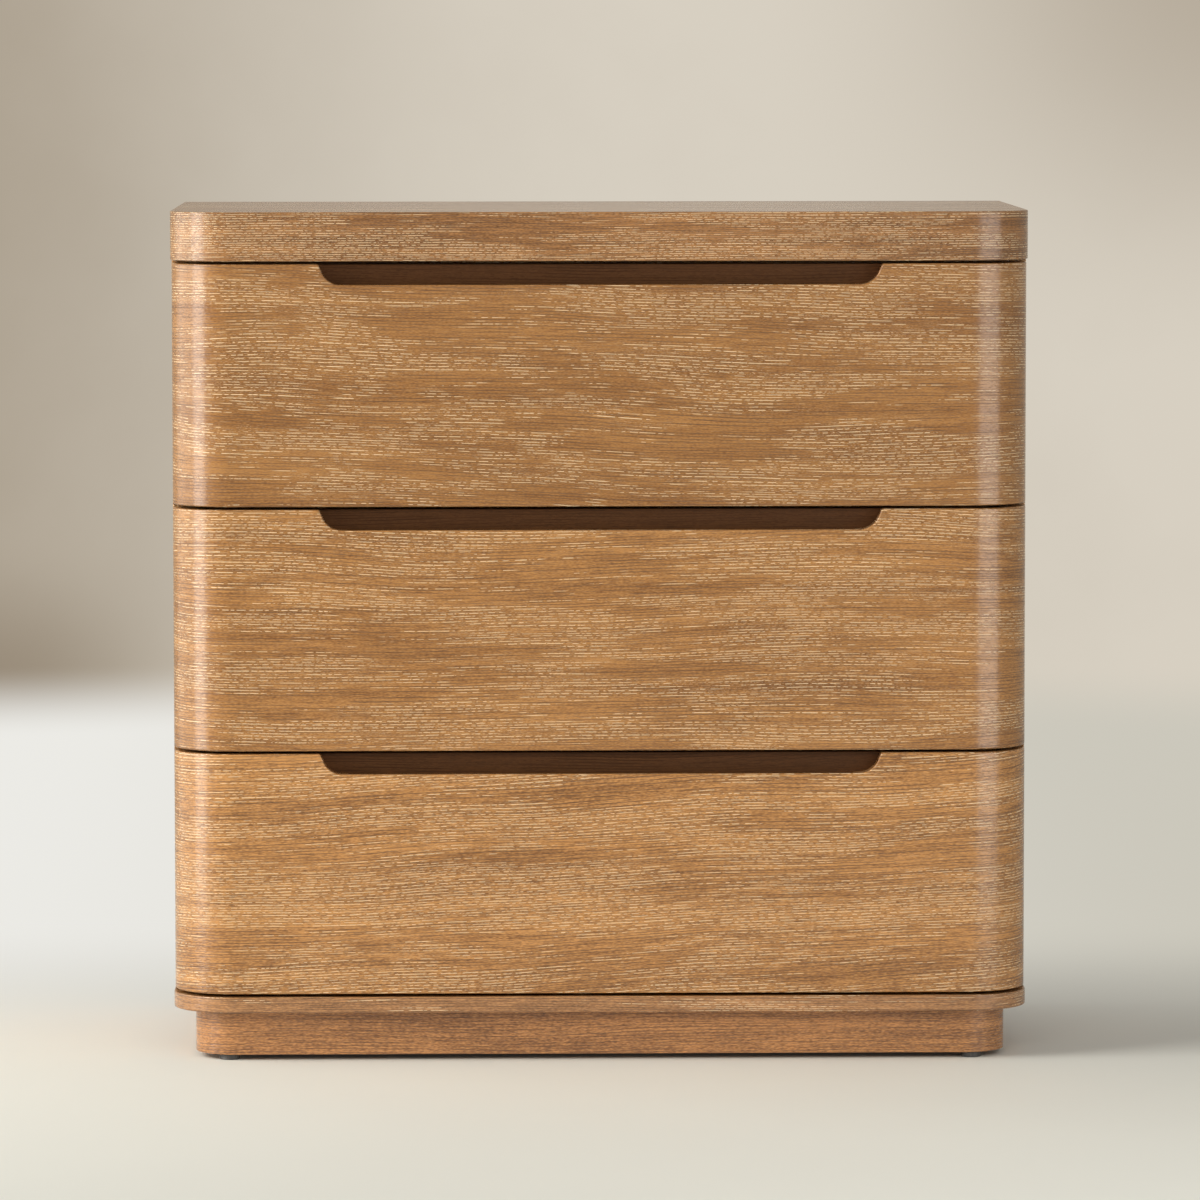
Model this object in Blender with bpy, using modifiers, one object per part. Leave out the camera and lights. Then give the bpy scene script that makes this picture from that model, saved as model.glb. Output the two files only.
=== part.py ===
"""Three-drawer dresser in limed oak, with wrap-round drawer fronts on telescopic runners.

Lengths are metres. The origin is on the floor under the middle of the dresser, +X runs to the
right of someone who faces it, +Y runs to the back and +Z is up. A place inside the dresser is
given as its depth behind the front edge of the top, and a height is above the floor.
"""

import math

import bmesh
import bpy
from mathutils import Matrix, Vector

# Overall outline of the top and of the bottom board
WIDTH = 0.914
DEPTH = 0.457
CORNER_RADIUS = 0.066
BACK_CORNER_RADIUS = 0.003

# Heights, from the floor up
GLIDE_HEIGHT = 0.006
PLINTH_HEIGHT = 0.048
BOTTOM_BOARD_THICKNESS = 0.017
FRONT_HEIGHT = 0.257
FRONT_GAP = 0.003
TOP_THICKNESS = 0.052

# Clearance that touching pieces keep
FIT = 0.0003

# Case boards
SIDE_THICKNESS = 0.018
SIDE_INSET = 0.001
BACK_THICKNESS = 0.006
BACK_REBATE = 0.009
RAIL_THICKNESS = 0.020
RAIL_HEIGHT = 0.045
RAIL_LAP = 0.008

# Drawer fronts
FRONT_INSET = 0.0015
FRONT_THICKNESS = 0.020
RETURN_STRAIGHT = 0.004
RETURN_GAP = 0.0025

# Finger pulls: a dip in a front's top edge, undercut from behind for the fingertips
FINGER_WIDTH = 0.597
FINGER_DEPTH = 0.022
FINGER_EDGE_RADIUS = 0.003
FINGER_SLOPE_DEGREES = 23.0
LIP_THICKNESS = 0.008
UNDERCUT_DROP = 0.016
UNDERCUT_RADIUS = 0.005
UNDERCUT_MARGIN = 0.030

# Drawer boxes
BOX_FOOTROOM = 0.004
BOX_HEADROOM = 0.007
BOX_REAR_GAP = 0.024
BOX_FRONT_DROP = 0.0007
BOX_SIDE_THICKNESS = 0.012
BOX_END_THICKNESS = 0.014
BOX_BOTTOM_THICKNESS = 0.006
GROOVE_DEPTH = 0.006
GROOVE_RISE = 0.010

# Telescopic runners: three steel channels, one inside the other
RUNNER_STOCK_STEP = 0.050
RUNNER_WIDTH = 0.0127
RUNNER_HEIGHT = 0.045
RUNNER_RISE = 0.090
RUNNER_SETBACK = 0.003
RUNNER_GAUGE = 0.0012
RUNNER_PLAY = 0.0004
RUNNER_LIP = 0.0012
RUNNER_WEB_GAP = 0.0007
RUNNER_STEP = 0.0011
RUNNER_DRAW = 0.0001
SCREW_HOLE_RADIUS = 0.0023
SCREW_HOLE_MARGIN = 0.035

# Plinth
PLINTH_RECESS = 0.023
PLINTH_THICKNESS = 0.020
PLINTH_STRAIGHT = 0.007
BLOCK_LEG = 0.060
BLOCK_HEIGHT = 0.040
GLIDE_RADIUS = 0.011
GLIDE_INSET_X = 0.037
GLIDE_INSET_Y = 0.014
GLIDE_EDGE = 0.0015

# Roundings
TOP_EDGE = 0.002
FRONT_EDGE = 0.0015
BOARD_EDGE = 0.001
BOX_EDGE = 0.0008

# Facets and the angles between them, in degrees
SMOOTH_DEGREES = 35.0
EASED_DEGREES = 50.0
FLAT_DEGREES = 0.5
WELD = 0.00001
EDGE_STEPS = 2
CORNER_STEPS = 12
SMALL_STEPS = 4
GLIDE_STEPS = 24
HOLE_STEPS = 12

DRAWERS = ("lower", "middle", "upper")
SIDES = {"left": -1, "right": 1}

# Heights and places that follow from the sizes above
FRONT = -DEPTH / 2
BACK = DEPTH / 2
PLINTH_TOP = GLIDE_HEIGHT + PLINTH_HEIGHT
CASE_FLOOR = PLINTH_TOP + BOTTOM_BOARD_THICKNESS
FRONT_PITCH = FRONT_HEIGHT + FRONT_GAP
TOP_UNDERSIDE = CASE_FLOOR + FRONT_GAP + len(DRAWERS) * FRONT_PITCH
SIDE_OUTER = WIDTH / 2 - SIDE_INSET
SIDE_INNER = SIDE_OUTER - SIDE_THICKNESS
RETURN_DEPTH = CORNER_RADIUS + RETURN_STRAIGHT
SIDE_FRONT = RETURN_DEPTH + RETURN_GAP
BOX_OUTER = SIDE_INNER - RUNNER_WIDTH
BOX_INNER = BOX_OUTER - BOX_SIDE_THICKNESS
BOX_FRONT = FRONT_INSET + FRONT_THICKNESS + FIT
BOX_BACK = DEPTH - BACK_THICKNESS - BOX_REAR_GAP
BOX_RISE = RAIL_LAP + BOX_FOOTROOM
BOX_HEIGHT = FRONT_PITCH - RAIL_HEIGHT - BOX_RISE - BOX_HEADROOM
RUNNER_FRONT = SIDE_FRONT + RUNNER_SETBACK
RUNNER_LENGTH = RUNNER_STOCK_STEP * math.floor((BOX_BACK - RUNNER_FRONT) / RUNNER_STOCK_STEP)
PLINTH_OUTER = WIDTH / 2 - PLINTH_RECESS


def clear_scene():
    for old in list(bpy.data.objects):
        bpy.data.objects.remove(old, do_unlink=True)


def make_collection(name):
    collection = bpy.data.collections.new(name)
    bpy.context.scene.collection.children.link(collection)
    return collection


def make_material(name, colour, roughness, metallic=0.0):
    material = bpy.data.materials.new(name)
    material.use_nodes = True
    shader = material.node_tree.nodes["Principled BSDF"]
    shader.inputs["Base Color"].default_value = (*colour, 1.0)
    shader.inputs["Roughness"].default_value = roughness
    shader.inputs["Metallic"].default_value = metallic
    material.diffuse_color = (*colour, 1.0)
    return material


def depth_at(distance):
    """The Y of a place this far behind the front edge of the top."""
    return FRONT + distance


def arc(centre, radius, start, end, steps):
    """Points on a circle from one angle to another, in degrees, with both ends."""
    points = []
    for step in range(steps + 1):
        angle = math.radians(start + (end - start) * step / steps)
        points.append((centre[0] + radius * math.cos(angle), centre[1] + radius * math.sin(angle)))
    return points


def slab_outline(half_width, front, back, front_radius, back_radius):
    """A board seen from above, with large front corners and small back ones."""
    left = -half_width
    outline = arc((left + front_radius, front + front_radius), front_radius, 180, 270, CORNER_STEPS)
    outline += arc((half_width - front_radius, front + front_radius), front_radius, 270, 360,
                   CORNER_STEPS)
    outline += arc((half_width - back_radius, back - back_radius), back_radius, 0, 90, SMALL_STEPS)
    outline += arc((left + back_radius, back - back_radius), back_radius, 90, 180, SMALL_STEPS)
    return outline


def wrap_outline(half_width, front, end, radius, wall, hollow_half, hollow_radius=0.0):
    """A panel seen from above that bends back round both front corners.

    wall is its thickness at the front. Behind it the panel is hollow to hollow_half either side
    of the middle, with square or rounded inner corners.
    """
    inner_front = front + wall
    outline = [(-half_width, end)]
    outline += arc((-half_width + radius, front + radius), radius, 180, 270, CORNER_STEPS)
    outline += arc((half_width - radius, front + radius), radius, 270, 360, CORNER_STEPS)
    outline += [(half_width, end), (hollow_half, end)]
    if hollow_radius:
        centre_x = hollow_half - hollow_radius
        centre_y = inner_front + hollow_radius
        outline += arc((centre_x, centre_y), hollow_radius, 360, 270, CORNER_STEPS)
        outline += arc((-centre_x, centre_y), hollow_radius, 270, 180, CORNER_STEPS)
    else:
        outline += [(hollow_half, inner_front), (-hollow_half, inner_front)]
    outline += [(-hollow_half, end)]
    return outline


def rounded(before, corner, after, radius, steps):
    """The arc that rounds a corner off, on the way from one point to another."""
    corner = Vector(corner)
    back = (Vector(before) - corner).normalized()
    ahead = (Vector(after) - corner).normalized()
    half_angle = back.angle(ahead) / 2
    centre = corner + (back + ahead).normalized() * radius / math.sin(half_angle)
    start = corner + back * radius / math.tan(half_angle) - centre
    end = corner + ahead * radius / math.tan(half_angle) - centre
    return [tuple(centre + radius * start.slerp(end, step / steps)) for step in range(steps + 1)]


def finger_outline(overshoot):
    """The finger pull from the front: a long dip with sloping ends, its top edge at height 0.

    Each eased lip's last facet runs on past the edge, so that it crosses it and doesn't only
    touch it.
    """
    top = (FINGER_WIDTH / 2, 0.0)
    slope = FINGER_DEPTH * math.tan(math.radians(FINGER_SLOPE_DEGREES))
    foot = (FINGER_WIDTH / 2 - slope, -FINGER_DEPTH)
    right = rounded((0.0, -FINGER_DEPTH), foot, top, FINGER_DEPTH, 2 * SMALL_STEPS)
    right += rounded(foot, top, (FINGER_WIDTH, 0.0), FINGER_EDGE_RADIUS, SMALL_STEPS)
    (x, z), (end_x, end_z) = right[-2:]
    right[-1] = (2 * end_x - x, 2 * end_z - z)
    right.append((right[-1][0], overshoot))
    left = [(-x, z) for x, z in reversed(right)]
    return left + right


def undercut_outline():
    """The undercut from the side, behind a front's face at 0, below its top edge at height 0."""
    low = -FINGER_DEPTH - UNDERCUT_DROP
    back = 2 * FRONT_THICKNESS
    corner = (LIP_THICKNESS, low)
    cove = rounded((LIP_THICKNESS, 0.0), corner, (back, low), UNDERCUT_RADIUS, SMALL_STEPS)
    return [(LIP_THICKNESS, -FINGER_DEPTH / 2)] + cove + [(back, low), (back, -FINGER_DEPTH / 2)]


def extrude(name, outline, length, along="Z", whole_faces=True):
    """A closed outline given its thickness along one axis, centred on it, as a clean mesh.

    The outline is in x, y for Z, in x, z for Y and in y, z for X.
    """
    curve = bpy.data.curves.new(name, "CURVE")
    curve.dimensions = "2D"
    curve.fill_mode = "BOTH"
    curve.extrude = length / 2
    spline = curve.splines.new("POLY")
    spline.points.add(len(outline) - 1)
    for point, (a, b) in zip(spline.points, outline):
        point.co = (a, b, 0.0, 1.0)
    spline.use_cyclic_u = True
    holder = bpy.data.objects.new(name, curve)
    bpy.context.scene.collection.objects.link(holder)
    graph = bpy.context.evaluated_depsgraph_get()
    mesh = bpy.data.meshes.new_from_object(holder.evaluated_get(graph))
    bpy.data.objects.remove(holder, do_unlink=True)
    bpy.data.curves.remove(curve)
    turns = {
        "Z": Matrix.Identity(4),
        "Y": Matrix.Rotation(math.pi / 2, 4, "X"),
        "X": Matrix(((0, 0, 1, 0), (1, 0, 0, 0), (0, 1, 0, 0), (0, 0, 0, 1))),
    }
    mesh.transform(turns[along])
    tidy(mesh, whole_faces)
    mesh.name = name
    return mesh


def tidy(mesh, whole_faces):
    """Welds a mesh's caps to its walls, and can turn flat triangles back into whole faces."""
    shape = bmesh.new()
    shape.from_mesh(mesh)
    bmesh.ops.remove_doubles(shape, verts=shape.verts, dist=WELD)
    if whole_faces:
        bmesh.ops.dissolve_limit(shape, angle_limit=math.radians(FLAT_DEGREES), verts=shape.verts,
                                 edges=shape.edges)
    bmesh.ops.recalc_face_normals(shape, faces=shape.faces)
    shape.to_mesh(mesh)
    shape.free()


def box_mesh(name, size):
    shape = bmesh.new()
    bmesh.ops.create_cube(shape, size=1.0)
    bmesh.ops.scale(shape, vec=size, verts=shape.verts)
    mesh = bpy.data.meshes.new(name)
    shape.to_mesh(mesh)
    shape.free()
    return mesh


def cylinder_mesh(name, radius, length, steps):
    """A cylinder along X."""
    shape = bmesh.new()
    bmesh.ops.create_cone(shape, cap_ends=True, segments=steps, radius1=radius, radius2=radius,
                          depth=length, matrix=Matrix.Rotation(math.pi / 2, 4, "Y"))
    mesh = bpy.data.meshes.new(name)
    shape.to_mesh(mesh)
    shape.free()
    return mesh


def add_empty(name, location):
    """The frame that a body's pieces hang from, on the line that the body slides along."""
    empty = bpy.data.objects.new(name, None)
    empty.location = location
    parts.objects.link(empty)
    return empty


def add_piece(name, mesh, centre, body, material, edge=0.0, turn=0.0):
    """A named piece at a place in the dresser, carried by a body's empty."""
    piece = bpy.data.objects.new(name, mesh)
    parts.objects.link(piece)
    piece.parent = body
    piece.location = [c - b for c, b in zip(centre, body.location)]
    piece.rotation_euler = (0.0, 0.0, turn)
    if not mesh.materials:
        mesh.materials.append(material)
    mesh.shade_smooth()
    mesh.set_sharp_from_angle(angle=math.radians(SMOOTH_DEGREES))
    if edge:
        round_edges(piece, edge)
    return piece


def round_edges(piece, width):
    bevel = piece.modifiers.new("eased edges", "BEVEL")
    bevel.width = width
    bevel.segments = EDGE_STEPS
    bevel.limit_method = "ANGLE"
    bevel.angle_limit = math.radians(EASED_DEGREES)
    bevel.use_clamp_overlap = False


def add_board(name, low, high, body, material, edge=BOARD_EDGE):
    """A rectangular board between two corners."""
    size = [b - a for a, b in zip(low, high)]
    centre = [(a + b) / 2 for a, b in zip(low, high)]
    return add_piece(name, box_mesh(name, size), centre, body, material, edge)


def add_cutter(name, mesh, centre):
    cutter = bpy.data.objects.new(name, mesh)
    cutters.objects.link(cutter)
    cutter.location = centre
    cutter.hide_render = True
    cutter.display_type = "WIRE"
    return cutter


def cut(piece, cutter):
    boolean = piece.modifiers.new(cutter.name, "BOOLEAN")
    boolean.operation = "DIFFERENCE"
    boolean.solver = "EXACT"
    boolean.object = cutter


# Case


def add_top_and_bottom_board(case, oak):
    """The thick top and the thin bottom board, which share one outline."""
    outline = slab_outline(WIDTH / 2, FRONT, BACK, CORNER_RADIUS, BACK_CORNER_RADIUS)
    top = extrude("top_panel", outline, TOP_THICKNESS)
    add_piece("top_panel", top, (0, 0, TOP_UNDERSIDE + TOP_THICKNESS / 2), case, oak, TOP_EDGE)
    board = extrude("bottom_board", outline, BOTTOM_BOARD_THICKNESS)
    centre = (0, 0, PLINTH_TOP + BOTTOM_BOARD_THICKNESS / 2)
    add_piece("bottom_board", board, centre, case, oak, TOP_EDGE)


def side_panel_outline(side):
    """A case side seen from above, rebated at its back edge for the back panel."""
    rebate_inner = SIDE_INNER + BACK_REBATE + FIT
    rebate_front = BACK - BACK_THICKNESS - FIT
    outline = [
        (SIDE_INNER, depth_at(SIDE_FRONT)),
        (SIDE_OUTER, depth_at(SIDE_FRONT)),
        (SIDE_OUTER, BACK),
        (rebate_inner, BACK),
        (rebate_inner, rebate_front),
        (SIDE_INNER, rebate_front),
    ]
    return [(side * x, y) for x, y in outline]


def add_case_sides_and_back(case, oak, veneer):
    low = CASE_FLOOR + FIT
    high = TOP_UNDERSIDE - FIT
    for word, side in SIDES.items():
        panel = extrude(f"side_panel_{word}", side_panel_outline(side), high - low)
        add_piece(f"side_panel_{word}", panel, (0, 0, (low + high) / 2), case, oak, BOARD_EDGE)
    half_back = SIDE_INNER + BACK_REBATE
    add_board("back_panel", (-half_back, BACK - BACK_THICKNESS, low), (half_back, BACK, high), case,
              veneer, BOX_EDGE)


def add_rails(case, oak):
    """The rails between the sides: one over each drawer, and one at the top of the back."""
    half = SIDE_INNER - FIT
    front = depth_at(SIDE_FRONT)
    top = TOP_UNDERSIDE - FIT
    tops = {
        "front_rail_top": top,
        "front_rail_upper": front_bottom(2) + RAIL_LAP,
        "front_rail_lower": front_bottom(1) + RAIL_LAP,
    }
    for name, high in tops.items():
        add_board(name, (-half, front, high - RAIL_HEIGHT), (half, front + RAIL_THICKNESS, high),
                  case, oak)
    rear = BACK - BACK_THICKNESS - FIT
    add_board("rear_rail_top", (-half, rear - RAIL_THICKNESS, top - RAIL_HEIGHT), (half, rear, top),
              case, oak)


# Plinth


def add_plinth(case, oak, pine, plastic):
    """A recessed base: a bent front, two sides, a back, glue blocks and four glides."""
    front = depth_at(PLINTH_RECESS)
    back = BACK - PLINTH_RECESS
    low = GLIDE_HEIGHT
    high = PLINTH_TOP - FIT
    middle = (low + high) / 2
    radius = CORNER_RADIUS - PLINTH_RECESS
    inner = PLINTH_OUTER - PLINTH_THICKNESS
    end = front + radius + PLINTH_STRAIGHT
    outline = wrap_outline(PLINTH_OUTER, front, end, radius, PLINTH_THICKNESS, inner,
                           radius - PLINTH_THICKNESS)
    mesh = extrude("plinth_front", outline, high - low)
    add_piece("plinth_front", mesh, (0, 0, middle), case, oak, BOARD_EDGE)
    for word, side in SIDES.items():
        xs = sorted((side * PLINTH_OUTER, side * (PLINTH_OUTER - PLINTH_THICKNESS)))
        add_board(f"plinth_side_{word}", (xs[0], end + FIT, low), (xs[1], back, high), case, oak)
    inner -= FIT
    add_board("plinth_back", (-inner, back - PLINTH_THICKNESS, low), (inner, back, high), case, oak)
    add_corner_blocks(case, pine, inner, front + PLINTH_THICKNESS + FIT,
                      back - PLINTH_THICKNESS - FIT, radius - PLINTH_THICKNESS - FIT)
    add_glides(case, plastic, front, back)


def block_outline(corner, radius, to_x, to_y):
    """A three-cornered glue block seen from above, its right angle rounded to fit the plinth."""
    x, y = corner
    if radius > 0:
        centre = (x + to_x * radius, y + to_y * radius)
        start = 270 if to_y > 0 else 90
        end = 180 if to_x > 0 else 0
        if (start, end) == (270, 0):
            end = 360
        angle = arc(centre, radius, start, end, SMALL_STEPS)
    else:
        angle = [(x, y)]
    return [(x + to_x * BLOCK_LEG, y)] + angle + [(x, y + to_y * BLOCK_LEG)]


def add_corner_blocks(case, pine, inner, front, back, front_radius):
    middle = PLINTH_TOP - FIT - BLOCK_HEIGHT / 2
    for word, side in SIDES.items():
        ends = {"front": (front, 1, front_radius), "back": (back, -1, 0.0)}
        for end, (y, to_y, radius) in ends.items():
            outline = block_outline((side * inner, y), radius, -side, to_y)
            mesh = extrude(f"corner_block_{end}_{word}", outline, BLOCK_HEIGHT)
            add_piece(f"corner_block_{end}_{word}", mesh, (0, 0, middle), case, pine, BOX_EDGE)


def glide_mesh():
    """A turned glide: flat under its middle and at its seat, with a rounded lower edge."""
    height = GLIDE_HEIGHT - FIT
    profile = [(0.0, height), (GLIDE_RADIUS, height)]
    for x, z in arc((GLIDE_RADIUS - GLIDE_EDGE, GLIDE_EDGE), GLIDE_EDGE, 0, -90, SMALL_STEPS):
        profile.append((x, z))
    profile.append((0.0, 0.0))
    mesh = bpy.data.meshes.new("glide")
    edges = [(i, i + 1) for i in range(len(profile) - 1)]
    mesh.from_pydata([(x, 0.0, z) for x, z in profile], edges, [])
    return mesh


def add_glides(case, plastic, front, back):
    profile = glide_mesh()
    for word, side in SIDES.items():
        for end, y in (("front", front + GLIDE_INSET_Y), ("back", back - GLIDE_INSET_Y)):
            place = (side * (PLINTH_OUTER - GLIDE_INSET_X), y, 0.0)
            glide = add_piece(f"glide_{end}_{word}", profile, place, case, plastic)
            turn = glide.modifiers.new("turned", "SCREW")
            turn.steps = GLIDE_STEPS
            turn.render_steps = GLIDE_STEPS
            turn.use_merge_vertices = True
            turn.merge_threshold = WELD
            turn.use_smooth_shade = True


# Drawers


def front_bottom(level):
    """The height of a drawer front's lower edge, counting up from 0 for the lowest drawer."""
    return CASE_FLOOR + FRONT_GAP + level * FRONT_PITCH


def add_drawer_front(name, level, drawer, oak):
    """A front that wraps round both corners, with an undercut finger pull in its top edge."""
    outline = wrap_outline(WIDTH / 2 - FRONT_INSET, depth_at(FRONT_INSET), depth_at(RETURN_DEPTH),
                           CORNER_RADIUS - FRONT_INSET, FRONT_THICKNESS, BOX_OUTER + FIT)
    low = front_bottom(level)
    mesh = extrude(f"drawer_front_{name}", outline, FRONT_HEIGHT)
    front = add_piece(f"drawer_front_{name}", mesh, (0, 0, low + FRONT_HEIGHT / 2), drawer, oak)
    top = low + FRONT_HEIGHT
    pull = extrude(f"finger_pull_{name}", finger_outline(overshoot=FINGER_DEPTH),
                   2 * FRONT_THICKNESS, along="Y")
    centre = (0, depth_at(FRONT_INSET + FRONT_THICKNESS / 2), top)
    cut(front, add_cutter(f"finger_pull_{name}", pull, centre))
    undercut = extrude(f"undercut_{name}", undercut_outline(),
                       FINGER_WIDTH - 2 * UNDERCUT_MARGIN, along="X")
    cut(front, add_cutter(f"undercut_{name}", undercut, (0, depth_at(FRONT_INSET), top)))
    round_edges(front, FRONT_EDGE)


def grooved_outline(thickness, height, faces):
    """A box board on end, seen along its length, with a groove for the bottom.

    It stands on height 0 with its outer face at 0. faces is 1 or -1, the way its inner face lies.
    """
    groove_low = GROOVE_RISE - FIT
    groove_high = GROOVE_RISE + BOX_BOTTOM_THICKNESS + FIT
    floor = thickness - GROOVE_DEPTH
    outline = [
        (0, 0),
        (thickness, 0),
        (thickness, groove_low),
        (floor, groove_low),
        (floor, groove_high),
        (thickness, groove_high),
        (thickness, height),
        (0, height),
    ]
    return [(faces * a, b) for a, b in outline]


def add_drawer_box(name, level, drawer, maple, oak):
    """Two grooved sides, a grooved front and a back between them, and a thin bottom.

    The box's front stands taller than its sides, and closes the finger pull from behind.
    """
    low = front_bottom(level) + BOX_RISE
    middle = depth_at((BOX_FRONT + BOX_BACK) / 2)
    for word, side in SIDES.items():
        outline = grooved_outline(BOX_SIDE_THICKNESS, BOX_HEIGHT, -side)
        mesh = extrude(f"drawer_side_{word}_{name}", outline, BOX_BACK - BOX_FRONT, along="Y")
        place = (side * BOX_OUTER, middle, low)
        add_piece(f"drawer_side_{word}_{name}", mesh, place, drawer, maple, BOX_EDGE)
    between = BOX_INNER - FIT
    front_height = FRONT_HEIGHT - BOX_FRONT_DROP - BOX_RISE
    outline = grooved_outline(BOX_END_THICKNESS, front_height, 1)
    mesh = extrude(f"drawer_box_front_{name}", outline, 2 * between, along="X")
    add_piece(f"drawer_box_front_{name}", mesh, (0, depth_at(BOX_FRONT), low), drawer, oak,
              BOX_EDGE)
    bottom_top = low + GROOVE_RISE + BOX_BOTTOM_THICKNESS
    back = depth_at(BOX_BACK)
    add_board(f"drawer_back_{name}", (-between, back - BOX_END_THICKNESS, bottom_top + FIT),
              (between, back, low + BOX_HEIGHT), drawer, maple, BOX_EDGE)
    half = BOX_INNER + GROOVE_DEPTH - FIT
    front = depth_at(BOX_FRONT + BOX_END_THICKNESS - GROOVE_DEPTH + FIT)
    add_board(f"drawer_bottom_{name}", (-half, front, low + GROOVE_RISE), (half, back, bottom_top),
              drawer, maple, 0.0)


# Runners


def channel_outline(web, tip, half_height, ridge=None):
    """A rolled channel seen from its end: a web and two flanges that end in lips.

    web and tip are the flanges' two ends across the runner, from its fixed face. ridge is where
    the ridge that runs in the next channel's race starts and ends. Past it the flange draws in
    by a hair.
    """
    way = 1 if tip > web else -1
    gauge = RUNNER_GAUGE
    inside = half_height - gauge
    lip = inside - RUNNER_LIP
    drawn = half_height - RUNNER_DRAW
    upper = [(web, half_height)]
    if ridge:
        ease = way * RUNNER_LIP / 2
        upper += [
            (ridge[0], half_height),
            (ridge[0] + ease, half_height + RUNNER_LIP),
            (ridge[1] - ease, half_height + RUNNER_LIP),
            (ridge[1], drawn),
        ]
    upper += [
        (tip, drawn),
        (tip, lip),
        (tip - way * gauge, lip),
        (tip - way * gauge, inside),
        (web + way * gauge, inside),
    ]
    lower = [(u, -z) for u, z in reversed(upper)]
    return upper + lower


def runner_profiles():
    """The three nested channels, from the case side inwards, in the order that they are fixed."""
    gauge = RUNNER_GAUGE
    case_half = RUNNER_HEIGHT / 2
    nest = gauge + RUNNER_LIP + RUNNER_PLAY
    case_tip = RUNNER_WIDTH - 2 * RUNNER_STEP
    middle_web = FIT + gauge + RUNNER_WEB_GAP
    middle_tip = RUNNER_WIDTH - RUNNER_STEP
    middle_ridge = (middle_web + 2 * gauge, case_tip - gauge - RUNNER_STEP)
    drawer_web = RUNNER_WIDTH - FIT
    drawer_tip = middle_web + gauge + RUNNER_WEB_GAP + RUNNER_STEP
    drawer_ridge = (middle_tip - gauge - RUNNER_PLAY, drawer_tip + gauge)
    return {
        "case": channel_outline(FIT, case_tip, case_half),
        "middle": channel_outline(middle_web, middle_tip, case_half - nest, middle_ridge),
        "drawer": channel_outline(drawer_web, drawer_tip, case_half - 2 * nest, drawer_ridge),
    }


def pierced(mesh, reach):
    """Screw holes through a channel's web: one in the middle and one near each end."""
    blank = bpy.data.objects.new(mesh.name, mesh)
    bpy.context.scene.collection.objects.link(blank)
    offset = RUNNER_LENGTH / 2 - SCREW_HOLE_MARGIN
    drills = []
    for y in (-offset, 0.0, offset):
        drill = add_cutter("screw_hole", cylinder_mesh("screw_hole", SCREW_HOLE_RADIUS, reach,
                                                       HOLE_STEPS), (0, y, 0))
        drills.append(drill)
        cut(blank, drill)
    graph = bpy.context.evaluated_depsgraph_get()
    result = bpy.data.meshes.new_from_object(blank.evaluated_get(graph))
    result.name = mesh.name
    for spare in [blank, *drills]:
        bpy.data.objects.remove(spare, do_unlink=True)
    return result


def runner_meshes():
    meshes = {}
    for kind, outline in runner_profiles().items():
        mesh = extrude(f"runner_{kind}", outline, RUNNER_LENGTH, along="Y", whole_faces=False)
        if kind != "middle":
            mesh = pierced(mesh, 4 * RUNNER_WIDTH)
        meshes[kind] = mesh
    return meshes


def add_runners(name, level, meshes, bodies, steel):
    """A pair of runners: one channel on the case, one on the drawer and one between them."""
    height = runner_height(level)
    middle = depth_at(RUNNER_FRONT + RUNNER_LENGTH / 2)
    for word, side in SIDES.items():
        place = (side * SIDE_INNER, middle, height)
        turn = 0.0 if side < 0 else math.pi
        for kind, mesh in meshes.items():
            add_piece(f"runner_{kind}_{word}_{name}", mesh, place, bodies[kind], steel, turn=turn)


def runner_height(level):
    return front_bottom(level) + BOX_RISE + RUNNER_RISE


# The whole dresser

clear_scene()
parts = make_collection("dresser")
cutters = make_collection("cutters")

limed_oak = make_material("limed_oak", (0.42, 0.21, 0.085), 0.55)
plinth_oak = make_material("plinth_oak", (0.33, 0.165, 0.070), 0.55)
back_veneer = make_material("back_veneer", (0.36, 0.19, 0.085), 0.65)
box_maple = make_material("box_maple", (0.60, 0.42, 0.25), 0.60)
block_pine = make_material("block_pine", (0.55, 0.37, 0.19), 0.70)
zinc_steel = make_material("zinc_steel", (0.56, 0.57, 0.58), 0.35, 1.0)
glide_plastic = make_material("glide_plastic", (0.045, 0.043, 0.042), 0.60)

case_body = add_empty("case", (0, 0, 0))
add_top_and_bottom_board(case_body, limed_oak)
add_case_sides_and_back(case_body, limed_oak, back_veneer)
add_rails(case_body, limed_oak)
add_plinth(case_body, plinth_oak, block_pine, glide_plastic)

channels = runner_meshes()
for drawer_level, drawer_name in enumerate(DRAWERS):
    slide_line = (0, depth_at(RUNNER_FRONT), runner_height(drawer_level))
    drawer_body = add_empty(f"drawer_{drawer_name}", slide_line)
    middle_body = add_empty(f"runner_middle_{drawer_name}", slide_line)
    add_drawer_front(drawer_name, drawer_level, drawer_body, limed_oak)
    add_drawer_box(drawer_name, drawer_level, drawer_body, box_maple, limed_oak)
    carriers = {"case": case_body, "middle": middle_body, "drawer": drawer_body}
    add_runners(drawer_name, drawer_level, channels, carriers, zinc_steel)

bpy.context.view_layer.update()
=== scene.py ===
"""The looks of a three-drawer dresser in limed oak, laid over its CAD model piece by piece.

Lengths are metres, in the CAD model's own frame: +X to the right of someone facing the drawers,
+Y to the back and +Z up, with the origin on the floor under the middle.
"""

import math

import bpy
from mathutils import Matrix, Vector


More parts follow.
